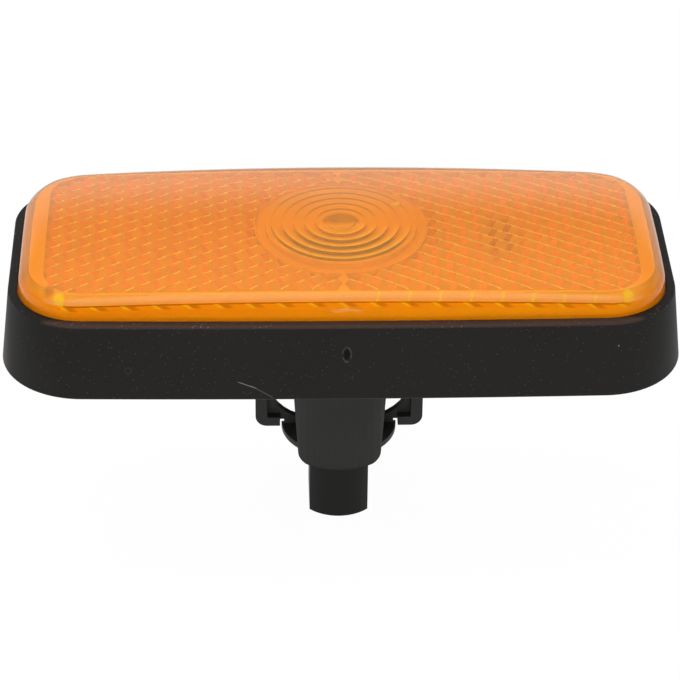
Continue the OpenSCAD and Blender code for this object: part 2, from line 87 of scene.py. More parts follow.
class Graph:
    def __init__(self, tree):
        self.tree = tree
        tree.nodes.clear()

    def add(self, kind, settings=None, values=None, out=0):
        node = self.tree.nodes.new(kind)
        for key, value in (settings or {}).items():
            setattr(node, key, value)
        for key, value in (values or {}).items():
            if isinstance(value, Sock):
                self.tree.links.new(value.socket, node.inputs[key])
            else:
                node.inputs[key].default_value = value
        return Sock(self, node.outputs[out]) if len(node.outputs) else None

    def place(self):
        return self.add("ShaderNodeTexCoord", out=3)

    def axes(self, vector):
        split = self.add("ShaderNodeSeparateXYZ", values={0: vector}).socket.node
        return [Sock(self, split.outputs[i]) for i in range(3)]

    def rays(self, *kinds):  # 1 for the named kinds of ray
        path = self.add("ShaderNodeLightPath").socket.node
        seen = [Sock(self, path.outputs[kind]) for kind in kinds]
        for other in seen[1:]:
            seen[0] = seen[0].most(other)
        return seen[0]

    def noise(self, vector, scale, detail=3.0):
        return self.add("ShaderNodeTexNoise", values={"Vector": vector, "Scale": scale, "Detail": detail})

    def cells(self, vector, scale):
        return self.add("ShaderNodeTexVoronoi", values={"Vector": vector, "Scale": scale})

    def stretch(self, vector, scale=(1, 1, 1), turn=(0, 0, 0), shift=(0, 0, 0)):
        return self.add("ShaderNodeMapping",
                        values={"Vector": vector, "Scale": scale, "Rotation": turn, "Location": shift})

    def mix(self, amount, first, second):
        return self.add("ShaderNodeMix", {"data_type": "RGBA"}, {0: amount, 6: first, 7: second}, out=2)

    def bump(self, height, strength, distance, normal=None):
        values = {"Height": height, "Strength": strength, "Distance": distance}
        if normal is not None:
            values["Normal"] = normal
        return self.add("ShaderNodeBump", values=values)

    def rounded(self, radius):
        return self.add("ShaderNodeBevel", {"samples": 6}, {"Radius": radius})


def ellipse(across, along, place, size):  # 0 at the place, 1 on an ellipse of that size round it
    return (((across - place[0]) / size[0]).power(2.0) + ((along - place[1]) / size[1]).power(2.0)).power(0.5)


def slantLine(x, z, place, slope):  # distance from a line through the place that falls to the right
    return abs((z - place[1]) + (x - place[0]) * slope)


def rgb(r, g, b):
    return (r, g, b, 1.0)


def finish(name, build):
    material = bpy.data.materials.new(name)
    material.use_nodes = True
    graph = Graph(material.node_tree)
    shader = graph.add("ShaderNodeBsdfPrincipled", values=build(graph))
    graph.add("ShaderNodeOutputMaterial", values={"Surface": shader})
    return material


# Sizes of the lens and what is moulded inside it, in millimetres
lensShape = {"length": 120.0, "width": 49.2, "corner": 12.2, "bow": 0.5, "surround": 15.1, "rise": 7.1,
             "crown": 1.7, "sideCrown": 1.85, "endRoll": 1.6, "endStart": 53.0, "edge": 1.5, "edgeWide": 2.6,
             "draft": 0.3, "wall": 2.4, "top": 3.2, "foot": 1.5, "flangeOut": 0.8, "lip": 3.5,
             "cornerSteps": 24, "sideSteps": 36, "endSteps": 16, "edgeSteps": 10, "weld": 0.001, "sharp": 0.5}
prismShape = {"size": 3.25, "sideMargin": 0.3, "endMargin": 2.8, "opticMargin": 0.15, "gap": 0.3, "base": 0.15,
              "edge": 0.18, "bite": 0.4, "facing": 0.3, "level": 0.001, "weld": 0.002,
              "outlineSteps": 6, "holeSteps": 96, "cutBelow": 8, "cutAbove": 4}
opticShape = {"radius": 16.1, "rings": 6, "first": 2.7, "pitch": 2.1, "depth": 0.8, "thick": 0.9, "lift": 2.1,
              "rim": 14.2, "dome": 0.5, "domeSteps": 6, "steps": 144, "cutBelow": 4}
skinSlot, innerSlot, wideSlot, coralSlot, highlightSlot, ringSlot = range(6)


# Amber plastic: clear skin over milky moulded prisms. The prism faces take lit and shaded tones of one amber by the
# way they face, and the line, glint, crease and ring colours are painted highlights and painted shade
amberLook = {"skin": (rgb(1.0, 0.49, 0.03), rgb(1.0, 0.46, 0.02)),
             "inner": (rgb(1.0, 0.56, 0.03), rgb(1.0, 0.52, 0.03)),
             "wide": (rgb(0.96, 0.50, 0.06), rgb(0.84, 0.44, 0.06)),
             "coral": (rgb(1.0, 0.38, 0.05), rgb(1.0, 0.30, 0.04)),
             # line: a painted highlight on the prisms' rounded edges and the faces turned to the front
             "line": (rgb(1.0, 0.98, 0.34), rgb(1.0, 0.86, 0.2)),
             "rings": (rgb(1.0, 0.54, 0.03), rgb(1.0, 0.50, 0.03)),
             "wall": (rgb(1.0, 0.31, 0.002), rgb(1.0, 0.44, 0.004)),
             "tint": rgb(1.0, 0.6, 0.03), "markAndHighlight": rgb(1.0, 0.72, 0.45), "creaseShade": rgb(0.42, 0.12, 0.003),
             "glint": rgb(1.0, 0.85, 0.02), "dark": rgb(0.48, 0.15, 0.035), "ringDark": rgb(0.34, 0.16, 0.04),
             "ringBright": rgb(1.0, 0.92, 0.35), "ior": 1.49, "skinThrough": 0.86, "through": 0.08,
             "rough": 0.03, "roughHaze": 0.05, "hazeScale": 90.0, "lineScale": 700.0}

# The skin's marks, real scuffs with painted highlights and painted shade among them, with places and sizes in metres.
# A fade is where a mark is full and where it has gone:
# along x or y, by level under the crown, or by the value of its pattern
skinLook = {"hazeScale": 60.0, "hazeDetail": 4.0, "rough": 0.02, "roughHaze": 0.03, "roughScuff": 0.05,
            "roughSmear": 0.3, "coat": 0.38, "coatEnds": 0.4, "coatEndsFade": (0.0545, 0.0580),
            "coatBand": 0.62, "coatRough": 0.04,
            "scuffScale": (400.0, 2500.0, 900.0), "scuffTurn": (0, 0, 0.35), "scuffFade": (0.36, 0.30),
            "smearPlace": (0.0003, 0.0172), "smearSize": (0.0042, 0.0006), "smearGrain": (500.0, 500.0, 4200.0),
            "smearBreak": 1.6, "smearFade": (1.1, 1.8), "smearFrontFade": (-0.0240, -0.0235), "smearShare": 0.5,
            "topFade": (-0.0014, -0.0009), "frontFade": (-0.0232, -0.0226), "frontEndsFade": (0.050, 0.054),
            "streakScale": (16.0, 0.0, 2600.0), "streakFade": (0.40, 0.62), "streakLevelFade": (-0.0042, -0.0030),
            "wallShare": 0.9, "bandLowFade": (-0.00145, -0.0012), "bandHighFade": (-0.0004, 0.0), "bandShare": 0.3,
            "creaseLevel": -0.00155, "creaseFade": (0.0001, 0.0002),
            "belowHighFade": (-0.00165, -0.00155), "belowLowFade": (-0.0027, -0.0022),
            "commaSlant": 260.0, "commaShift": 0.75, "commaFade": (0.10, 0.18), "commaShare": 0.8,
            "shadowStartFade": (0.14, 0.2), "shadowEndFade": (0.38, 0.5), "shadowShare": 0.7,
            "strokeStart": 0.0064, "strokePitch": 0.00565, "strokeSlant": 60.0, "strokeFade": (0.025, 0.055),
            "strokeRightFade": (0.003, 0.006), "strokeBackFade": (-0.0217, -0.0211),
            "strokeLowFade": (-0.0015, -0.0012),
            "shadeStreakPlace": (-0.0535, -0.0205), "shadeStreakSize": (0.001414214, 0.002236068), "shadeStreakFade": (0.3, 0.9),
            "shadeStreakShare": 0.6, "sparkPlace": (0.0518, -0.0226), "sparkSize": (0.001290994, 0.001690309),
            "sparkFade": (0.6, 0.9), "sparkLowFade": (-0.0017, -0.0014),
            "glowPlace": (0.0531, 0.0181), "glowSize": (0.0020, 0.0006), "glowFade": (0.2, 1.2),
            "glowFrontFade": (-0.0210, -0.0200), "glowShare": 0.5}


def amberSkin(graph):
    look, s = skinLook, lensShape
    spot = graph.place()
    x, y, z = graph.axes(spot)
    haze = graph.noise(spot, look["hazeScale"], look["hazeDetail"])
    scuff = graph.noise(graph.stretch(spot, look["scuffScale"], look["scuffTurn"]), 1.0, 2.0).fade(*look["scuffFade"])
    broken = look["smearBreak"] * graph.noise(graph.stretch(spot, look["smearGrain"]), 1.0)
    smear = (ellipse(x, z, look["smearPlace"], look["smearSize"]) + broken).fade(*look["smearFade"])
    smear = smear * y.fade(*look["smearFrontFade"])

    # level under the crowned top, streaked wall below it, a pale band of painted highlight and a dark crease of
    # painted shade along the front edge
    drop = (s["crown"] * mm * (x / (s["length"] / 2 * mm)).power(2.0)
            + s["sideCrown"] * mm * (y / (s["width"] / 2 * mm)).power(2.0))
    level = z + drop - (s["surround"] + s["rise"]) * mm
    top = 1.0 - level.fade(*look["topFade"])
    front = y.fade(*look["frontFade"]) * abs(x).fade(*look["frontEndsFade"])
    streak = graph.noise(graph.stretch(spot, look["streakScale"]), 1.0, 2.0)
    wall = graph.mix(streak.fade(*look["streakFade"]).most(level.fade(*look["streakLevelFade"])), *amberLook["wall"])
    colour = graph.mix((1.0 - top) * look["wallShare"], graph.mix(haze, *amberLook["skin"]), wall)
    highlightBand = (1.0 - level.fade(*look["bandLowFade"])) * level.fade(*look["bandHighFade"]) * front
    creaseShade = abs(level - look["creaseLevel"]).fade(*look["creaseFade"]) * front
    colour = graph.mix(highlightBand * look["bandShare"], colour, amberLook["markAndHighlight"])

    # painted bright commas with their painted shadows under the edge and painted highlight strokes on it, then a dark
    # streak of painted shade and painted caustic sparks at the corners
    step = (x - look["strokeStart"]) / look["strokePitch"]
    slanted = (step + level * look["commaSlant"] + look["commaShift"]).fraction()
    below = level.fade(*look["belowHighFade"]) * (1.0 - level.fade(*look["belowLowFade"])) * front
    comma = slanted.fade(*look["commaFade"]) * below
    shadow = (1.0 - slanted.fade(*look["shadowStartFade"])) * slanted.fade(*look["shadowEndFade"]) * below
    upright = abs((step + 0.5 - level * look["strokeSlant"]).fraction() - 0.5)
    stroke = (upright.fade(*look["strokeFade"]) * (1.0 - x.fade(*look["strokeRightFade"]))
              * y.fade(*look["strokeBackFade"]) * (1.0 - level.fade(*look["strokeLowFade"])))
    shadeStreak = ellipse(x, y, look["shadeStreakPlace"], look["shadeStreakSize"]).fade(*look["shadeStreakFade"])
    spark = ellipse(abs(x), y, look["sparkPlace"], look["sparkSize"]).fade(*look["sparkFade"])
    spark = spark * (1.0 - level.fade(*look["sparkLowFade"]))
    darker = creaseShade.most(shadow * look["shadowShare"]).most(shadeStreak * look["shadeStreakShare"])
    brighter = (comma * look["commaShare"]).most(stroke * front).most(spark)
    colour = graph.mix(brighter, graph.mix(darker, colour, amberLook["creaseShade"]), amberLook["glint"])

    # painted reflection: a pale patch on each rounded front corner, joined below with the real pale smear
    glow = ellipse(abs(x), z, look["glowPlace"], look["glowSize"]).fade(*look["glowFade"])
    glow = glow * y.fade(*look["glowFrontFade"])
    scuffAndReflection = (smear * look["smearShare"]).most(glow * look["glowShare"])
    middle = look["coatEnds"] + (1.0 - look["coatEnds"]) * abs(x).fade(*look["coatEndsFade"])
    rough = look["rough"] + look["roughHaze"] * haze + look["roughScuff"] * scuff + look["roughSmear"] * smear
    return {"Base Color": graph.mix(scuffAndReflection, colour, amberLook["markAndHighlight"]), "Roughness": rough,
            "Coat Weight": look["coat"] * top * middle + look["coatBand"] * highlightBand, "Coat Roughness": look["coatRough"],
            "IOR": amberLook["ior"], "Specular Tint": amberLook["tint"],
            "Transmission Weight": amberLook["skinThrough"]}


# Amber of the faces inside the lens, with a paint function where a tone changes over the face
def amberInside(kind, scale=amberLook["hazeScale"], paint=None):
    def build(graph):
        spot = graph.place()
        haze = graph.noise(spot, scale)
        colour = graph.mix(haze, *amberLook[kind])
        if paint:
            colour = paint(graph, colour, *graph.axes(spot)[:2])
        return {"Base Color": colour, "Roughness": amberLook["rough"] + amberLook["roughHaze"] * haze,
                "IOR": amberLook["ior"], "Specular Tint": amberLook["tint"],
                "Transmission Weight": amberLook["through"]}
    return build


prismTone = {"patchPlace": (0.0297, -0.0030), "patchSize": (0.0050, 0.0095), "patchFade": (0.4, 1.1),
             "patchShare": 0.8, "columnX": 0.0185, "columnY": -0.001, "columnFade": (0.0006, 0.0012),
             "columnEnds": (0.004, 0.008), "columnShare": 0.5, "dashShift": 0.16, "dashFade": (0.46, 0.54),
             "dashRight": (-0.001, 0.0)}


def coralPatch(graph, colour, x, y):  # a patch of darker cells on the right half
    t = prismTone
    patch = ellipse(x, y, t["patchPlace"], t["patchSize"]).fade(*t["patchFade"])
    column = abs(x - t["columnX"]).fade(*t["columnFade"]) * abs(y - t["columnY"]).fade(*t["columnEnds"])
    return graph.mix((patch * t["patchShare"]).most(column * t["columnShare"]), colour, amberLook["dark"])


def highlightDashes(graph, colour, x, y):  # on the left half the painted highlight lines show as dashes, one to a column
    t = prismTone
    side = prismShape["size"] / math.sqrt(3) * mm
    column = (abs(x) - (side + prismShape["gap"] / 2 * mm)) / (1.5 * side)
    dash = (column + t["dashShift"]).fraction().fade(*t["dashFade"])
    return graph.mix(dash.most(1.0 - x.fade(*t["dashRight"])), amberLook["wide"][0], colour)


ringTone = {"outer": (-0.98, -0.9), "first": (-0.05, 0.05), "near": (-0.95, 0.0), "far": (0.0, 0.95),
            "darkStart": (0.0, 0.5), "darkEnd": (0.88, 1.0), "darkShare": 0.5, "darkGrowth": 0.2,
            "brightStart": (0.5, 0.75), "brightEnd": (0.86, 0.95), "brightShare": 0.55, "brightGrowth": 0.12,
            "rimStart": (0.0, 0.12), "rimEnd": (0.70, 0.88), "rimShare": 0.75, "middle": (1.05, 1.45),
            "shade": (-0.0007, 0.0007), "shadeShare": 0.7, "shine": (-0.0014, -0.0004), "shineShare": 0.5,
            "arcReach": 0.0158, "arc": (0.0001, 0.0003), "arcRight": (-0.001, 0.003), "arcTurn": (-0.75, -0.6),
            "arcShare": 0.8, "glintPlace": (0.0106, 0.0067), "glintSize": (0.001581139, 0.001), "glint": (0.3, 0.7)}


def ringShading(graph, colour, x, y):  # painted light and shade across each ring, as a moulded ring lens shows it, strongest on the near side
    o, t = opticShape, ringTone
    reach = (x * x + y * y).power(0.5)
    turn = y / reach
    ring = (reach - o["first"] * mm) / (o["pitch"] * mm)
    phase = ring.fraction()
    inside = (ring - o["rings"]).fade(*t["outer"]) * (1.0 - ring.fade(*t["first"]))
    near = turn.fade(*t["near"]) * inside
    far = (1.0 - turn.fade(*t["far"])) * inside
    dark = near * phase.fade(*t["darkStart"]).most(1.0 - phase.fade(*t["darkEnd"]))
    bright = near * (1.0 - phase.fade(*t["brightStart"])) * phase.fade(*t["brightEnd"])
    rim = far * phase.fade(*t["rimStart"]).most(1.0 - phase.fade(*t["rimEnd"]))
    dark = (dark * (t["darkShare"] + t["darkGrowth"] * ring)).most(rim * t["rimShare"])
    bright = bright * (t["brightShare"] + t["brightGrowth"] * ring)
    middle = (reach / (o["first"] * mm)).fade(*t["middle"])
    shade = middle * (1.0 - y.fade(*t["shade"])) * t["shadeShare"]
    shine = middle * y.fade(*t["shine"]) * t["shineShare"]
    arc = abs(reach - t["arcReach"]).fade(*t["arc"]) * x.fade(*t["arcRight"]) * turn.fade(*t["arcTurn"])
    glint = ellipse(x, y, t["glintPlace"], t["glintSize"]).fade(*t["glint"])
    toned = graph.mix(dark.most(shade).most(arc * t["arcShare"]), colour, amberLook["ringDark"])
    return graph.mix(bright.most(shine).most(glint), toned, amberLook["ringBright"])


# Black rubber of the surround, with its gate mark, scratches, specks and dust, painted shade in the gate's dip and
# painted highlights on the gate's rim, the lip's top and the left end
rubberLook = {"colour": rgb(0.0052, 0.0049, 0.0044), "worn": rgb(0.0088, 0.0083, 0.0077),
              "dustAndHighlight": rgb(0.13, 0.125, 0.118), "lip": rgb(0.030, 0.018, 0.014), "pitShade": rgb(0.0012, 0.0011, 0.001),
              "end": rgb(0.045, 0.036, 0.030), "endFade": (-0.0634, -0.0612), "frontFade": (-0.0245, -0.0235),
              "rough": 0.50, "roughCloud": 0.14, "roughMarks": 0.2, "specular": 0.12, "bump": 0.35,
              "depth": 0.0001, "cloudScale": 55.0, "cloudDetail": 4.0, "grainScale": 2600.0,
              "gatePlace": (0.00046, 0.0093), "gateSize": (0.00075, 0.0014), "gateRim": 1.05,
              "gateFade": (0.0, 0.22), "dipFade": (0.5, 0.95), "gateGrain": 1400.0, "gatePartFade": (0.42, 0.62),
              "gateShare": 0.22, "scratchPlace": (-0.01903, 0.00369), "scratchSlope": 0.385,
              "scratchMiddle": -0.0177, "scratchGrain": 3000.0, "scratchBreak": 0.35,
              "scratchFade": (0.00003, 0.00012), "scratchEndsFade": (0.0013, 0.0020),
              "faintPlace": (-0.0163, 0.00264), "faintSlope": 0.603, "faintMiddle": -0.0148,
              "faintFade": (0.00004, 0.00012), "faintEndsFade": (0.0013, 0.0022), "faintShare": 0.35,
              "bitScale": 1300.0, "bitFade": (0.05, 0.11), "bitShare": 0.55, "sparseShift": (0.3, 0.1, 0.7),
              "sparseScale": 330.0, "sparseFade": (0.40, 0.36), "lipFade": (0.0143, 0.0148), "lipScale": 1500.0,
              "lipShift": (0.05, 0.02, 0.0), "lipBitFade": (0.10, 0.22), "lipPatches": 160.0,
              "lipPartFade": (0.62, 0.45), "lipShare": 0.8, "speckPlace": (0.0501, 0.0103),
              "speckSize": (0.001, 0.001), "speckFade": (0.08, 0.2), "dimplePlace": (-0.0394, 0.0061),
              "dimpleSize": (0.001, 0.001), "dimpleRim": 0.6, "dimpleFade": (0.0, 0.2), "dimpleShare": 0.06,
              "grainHeight": 0.25, "gateHeight": 1.6, "dipHeight": -2.4, "markHeight": 0.4}


def rubberSurround(graph):
    look = rubberLook
    spot = graph.place()
    x, y, z = graph.axes(spot)
    cloud = graph.noise(spot, look["cloudScale"], look["cloudDetail"])
    grain = graph.noise(spot, look["grainScale"], 2.0)
    front = y.fade(*look["frontFade"])
    gate = ellipse(x, z, look["gatePlace"], look["gateSize"])
    gateDip = gate.fade(*look["dipFade"]) * front
    gateRim = abs(gate - look["gateRim"]).fade(*look["gateFade"]) * front
    line = slantLine(x, z, look["scratchPlace"], look["scratchSlope"])
    line = line * (1.0 + look["scratchBreak"] * graph.noise(spot, look["scratchGrain"]))
    scratch = line.fade(*look["scratchFade"]) * abs(x - look["scratchMiddle"]).fade(*look["scratchEndsFade"]) * front
    faint = slantLine(x, z, look["faintPlace"], look["faintSlope"]).fade(*look["faintFade"])
    faint = faint * abs(x - look["faintMiddle"]).fade(*look["faintEndsFade"]) * front
    bits = graph.cells(spot, look["bitScale"]).fade(*look["bitFade"])
    sparse = graph.noise(graph.stretch(spot, shift=look["sparseShift"]), look["sparseScale"], 2.0)
    bits = bits * sparse.fade(*look["sparseFade"])
    onLip = 1.0 - z.fade(*look["lipFade"])
    lipBits = graph.cells(graph.stretch(spot, shift=look["lipShift"]), look["lipScale"]).fade(*look["lipBitFade"])
    lipBits = lipBits * onLip * graph.noise(spot, look["lipPatches"]).fade(*look["lipPartFade"])
    speck = ellipse(x, z, look["speckPlace"], look["speckSize"]).fade(*look["speckFade"]) * front
    dimple = abs(ellipse(x, z, look["dimplePlace"], look["dimpleSize"]) - look["dimpleRim"])
    dimple = dimple.fade(*look["dimpleFade"]) * front
    # pale flecks on the gate's rim: painted highlight
    flecks = gateRim * graph.noise(spot, look["gateGrain"]).fade(*look["gatePartFade"])
    marks = scratch.most(speck)
    for part, share in ((bits, "bitShare"), (faint, "faintShare"), (lipBits, "lipShare"), (dimple, "dimpleShare"),
                        (flecks, "gateShare")):
        marks = marks.most(part * look[share])
    base = graph.mix(cloud, look["colour"], look["worn"])
    # the gate's dip is darker: painted shade
    base = graph.mix(gateDip, base, look["pitShade"])
    # the lip's top along the front takes a paler warm tone: painted highlight
    base = graph.mix(onLip * front, base, look["lip"])
    # the left end is paler: painted light
    base = graph.mix(x.fade(*look["endFade"]), base, look["end"])
    height = (grain * look["grainHeight"] + gateRim * look["gateHeight"] + gateDip * look["dipHeight"]
              + marks * look["markHeight"])
    return {"Base Color": graph.mix(marks, base, look["dustAndHighlight"]),
            "Roughness": look["rough"] + look["roughCloud"] * cloud + look["roughMarks"] * marks,
            "Specular IOR Level": look["specular"], "Normal": graph.bump(height, look["bump"], look["depth"])}


# Moulded black plastic of the holder, darker where the plug's socket starts: painted shade under the block
holderLook = {"colour": rgb(0.0105, 0.0102, 0.0097), "pale": rgb(0.0155, 0.015, 0.0144),
              "plug": rgb(0.004, 0.0038, 0.0035), "plugFade": (-0.0275, -0.0265), "cloudScale": 70.0,
              "sparkScale": 4200.0, "swirlScale": (60.0, 60.0, 14.0), "rough": 0.42, "roughSwirl": 0.10,
              "specular": 0.15, "bump": 0.12, "depth": 0.00008, "edge": 0.00025}


def holderPlastic(graph):
    look = holderLook
    spot = graph.place()
    colour = graph.mix(graph.noise(spot, look["cloudScale"]), look["colour"], look["pale"])
    spark = graph.noise(spot, look["sparkScale"], 2.0)
    swirl = graph.noise(graph.stretch(spot, look["swirlScale"]), 1.0)
    # the plug's socket is painted darker: painted shade
    return {"Base Color": graph.mix(graph.axes(spot)[2].fade(*look["plugFade"]), colour, look["plug"]),
            "Roughness": look["rough"] + look["roughSwirl"] * swirl, "Specular IOR Level": look["specular"],
            "Normal": graph.bump(spark, look["bump"], look["depth"], graph.rounded(look["edge"]))}


# White plastic of the housing and soft rubber of the seal
housingLook = {"colour": rgb(0.84, 0.84, 0.82), "shade": rgb(0.78, 0.78, 0.76), "cloudScale": 45.0,
               "grainScale": 1800.0, "grainDetail": 2.0, "rough": 0.38, "roughCloud": 0.12, "bump": 0.08,
               "depth": 0.0001, "edge": 0.0003}
sealLook = {"colour": rgb(0.018, 0.018, 0.018), "shade": rgb(0.03, 0.03, 0.029), "cloudScale": 300.0,
            "grainScale": 3000.0, "grainDetail": 3.0, "rough": 0.62, "roughCloud": 0.15, "bump": 0.3,
            "depth": 0.0001, "edge": 0.0002}


def plainFinish(look):
    def build(graph):
        spot = graph.place()
        cloud = graph.noise(spot, look["cloudScale"])
        grain = graph.noise(spot, look["grainScale"], look["grainDetail"])
        return {"Base Color": graph.mix(cloud, look["colour"], look["shade"]),
                "Roughness": look["rough"] + look["roughCloud"] * cloud,
                "Normal": graph.bump(grain, look["bump"], look["depth"], graph.rounded(look["edge"]))}
    return build


# Metals: colour, its shade, roughness and the grain of the drawn surface
metalLook = {"springSteel": (rgb(0.62, 0.61, 0.60), rgb(0.52, 0.52, 0.52), 0.25, (200.0, 3000.0, 200.0)),
             "contactBrass": (rgb(0.72, 0.55, 0.27), rgb(0.60, 0.44, 0.22), 0.28, (3000.0, 300.0, 150.0)),
             "leadWire": (rgb(0.60, 0.58, 0.55), rgb(0.48, 0.46, 0.43), 0.3, (3000.0, 3000.0, 200.0)),
             "filamentWire": (rgb(0.30, 0.29, 0.28), rgb(0.22, 0.21, 0.20), 0.4, (4000.0, 4000.0, 4000.0))}
drawnLook = {"cloudScale": 250.0, "roughDrawn": 0.15, "bump": 0.15, "depth": 0.00005, "edge": 0.00008}


def metalFinish(name):
    def build(graph):
        colour, shade, rough, grainScale = metalLook[name]
        spot = graph.place()
        drawn = graph.noise(graph.stretch(spot, grainScale), 1.0)
        cloud = graph.noise(spot, drawnLook["cloudScale"], 2.0)
        edge = graph.rounded(drawnLook["edge"])
        return {"Base Color": graph.mix(cloud, colour, shade), "Metallic": 1.0,
                "Roughness": rough + drawnLook["roughDrawn"] * drawn,
                "Normal": graph.bump(drawn, drawnLook["bump"], drawnLook["depth"], edge)}
    return build


glassLook = {"colour": rgb(0.97, 0.98, 0.98), "shade": rgb(0.94, 0.96, 0.97), "waveScale": 180.0, "rough": 0.01,
             "roughWave": 0.02, "ior": 1.5}


def clearGlass(graph):
    wave = graph.noise(graph.place(), glassLook["waveScale"], 2.0)
    return {"Base Color": graph.mix(wave, glassLook["colour"], glassLook["shade"]),
            "Roughness": glassLook["rough"] + glassLook["roughWave"] * wave,
            "IOR": glassLook["ior"], "Transmission Weight": 1.0}


builders = {"amberSkin": amberSkin, "amberInner": amberInside("inner"), "amberWide": amberInside("wide"),
            "amberCoral": amberInside("coral", paint=coralPatch),
            "amberHighlightLine": amberInside("line", amberLook["lineScale"], highlightDashes),
            "amberRings": amberInside("rings", paint=ringShading), "rubberSurround": rubberSurround,
            "holderPlastic": holderPlastic, "whitePlastic": plainFinish(housingLook),
            "sealRubber": plainFinish(sealLook), **{name: metalFinish(name) for name in metalLook},
            "clearGlass": clearGlass}
finishes = {name: finish(name, build) for name, build in builders.items()}
print("finishes made")


# Meshes are drawn in millimetres and stored in metres
def makePiece(name, bm, materials, sharpAngle):
    for vert in bm.verts:
        vert.co *= mm
    mesh = bpy.data.meshes.new(name)
    bm.to_mesh(mesh)
    bm.free()
    for material in materials:
        mesh.materials.append(material)
    mesh.shade_smooth()
    mesh.set_sharp_from_angle(angle=sharpAngle)
    piece = bpy.data.objects.new(name, mesh)
    scene.collection.objects.link(piece)
    return piece


def arcPoints(cx, cy, r, start, end, steps):
    turns = [math.radians(start + (end - start) * i / steps) for i in range(steps + 1)]
    return [(cx + r * math.cos(a), cy + r * math.sin(a)) for a in turns]


# Lens: outline, rounded and crowned top, foot flange
def lensOutline(inset, cornerSteps, sideSteps, endSteps):
    s = lensShape
    r = s["corner"] - inset
    cx = s["length"] / 2 - s["corner"]
    half = s["width"] / 2 - s["bow"] - inset
    cy = half - r

    def side(sign):
        steps = [1 - 2 * i / sideSteps for i in range(1, sideSteps)]
        return [(sign * cx * f, sign * (half + s["bow"] * (1 - f * f))) for f in steps]

    def end(sign):
        return [(sign * (cx + r), sign * cy * (2 * i / endSteps - 1)) for i in range(1, endSteps)]

    corners = [arcPoints(sx * cx, sy * cy, r, turn, turn + 90, cornerSteps)
               for sx, sy, turn in ((1, 1, 0), (-1, 1, 90), (-1, -1, 180), (1, -1, 270))]
    return corners[0] + side(1) + corners[1] + end(-1) + corners[2] + side(-1) + corners[3] + end(1)


def crownDrop(x, y):  # how far the top lies under its middle
    s = lensShape
    past = max(0.0, (abs(x) - s["endStart"]) / (s["length"] / 2 - s["endStart"]))
    pillow = s["crown"] * (2 * x / s["length"]) ** 2 + s["sideCrown"] * (2 * y / s["width"]) ** 2
    return pillow + s["endRoll"] * past ** 2


def ringVerts(bm, inset, z, crowned, steps):
    return [bm.verts.new((x, y, z - crownDrop(x, y) * crowned)) for x, y in lensOutline(inset, *steps)]


def bandFaces(bm, low, high, slot=0):
    count = len(low)
    for i in range(count):
        face = bm.faces.new((low[i], low[(i + 1) % count], high[(i + 1) % count], high[i]))
        face.material_index = slot


def crownedLid(bm, top, lensTop, columns):  # rows of faces across the top, bent to the crown
    rows = len(top) // 2 - columns + 1
    grid = []
    for i in range(rows):
        left, right = top[i], top[len(top) - columns - i]
        if i == 0:
            between = top[:-columns:-1]
        elif i == rows - 1:
            between = top[rows:rows + columns - 1]
        else:
            between = []
            for k in range(1, columns):
                x, y = left.co.x, left.co.y + (right.co.y - left.co.y) * k / columns
                between.append(bm.verts.new((x, y, lensTop - crownDrop(x, y))))
        grid.append([left, *between, right])
    for near, far in zip(grid, grid[1:]):
        for k in range(columns):
            bm.faces.new((near[k], far[k], far[k + 1], near[k + 1]))


# Cube-corner prisms stand on a lattice of points, by Geometry Nodes
def cubeTurn():
    level, climb = math.sqrt(2 / 3), 1 / math.sqrt(3)
    cols = [Vector((level * math.cos(a), level * math.sin(a), climb)) for a in (0, 2 * math.pi / 3, 4 * math.pi / 3)]
    return Matrix(cols).transposed().to_euler()


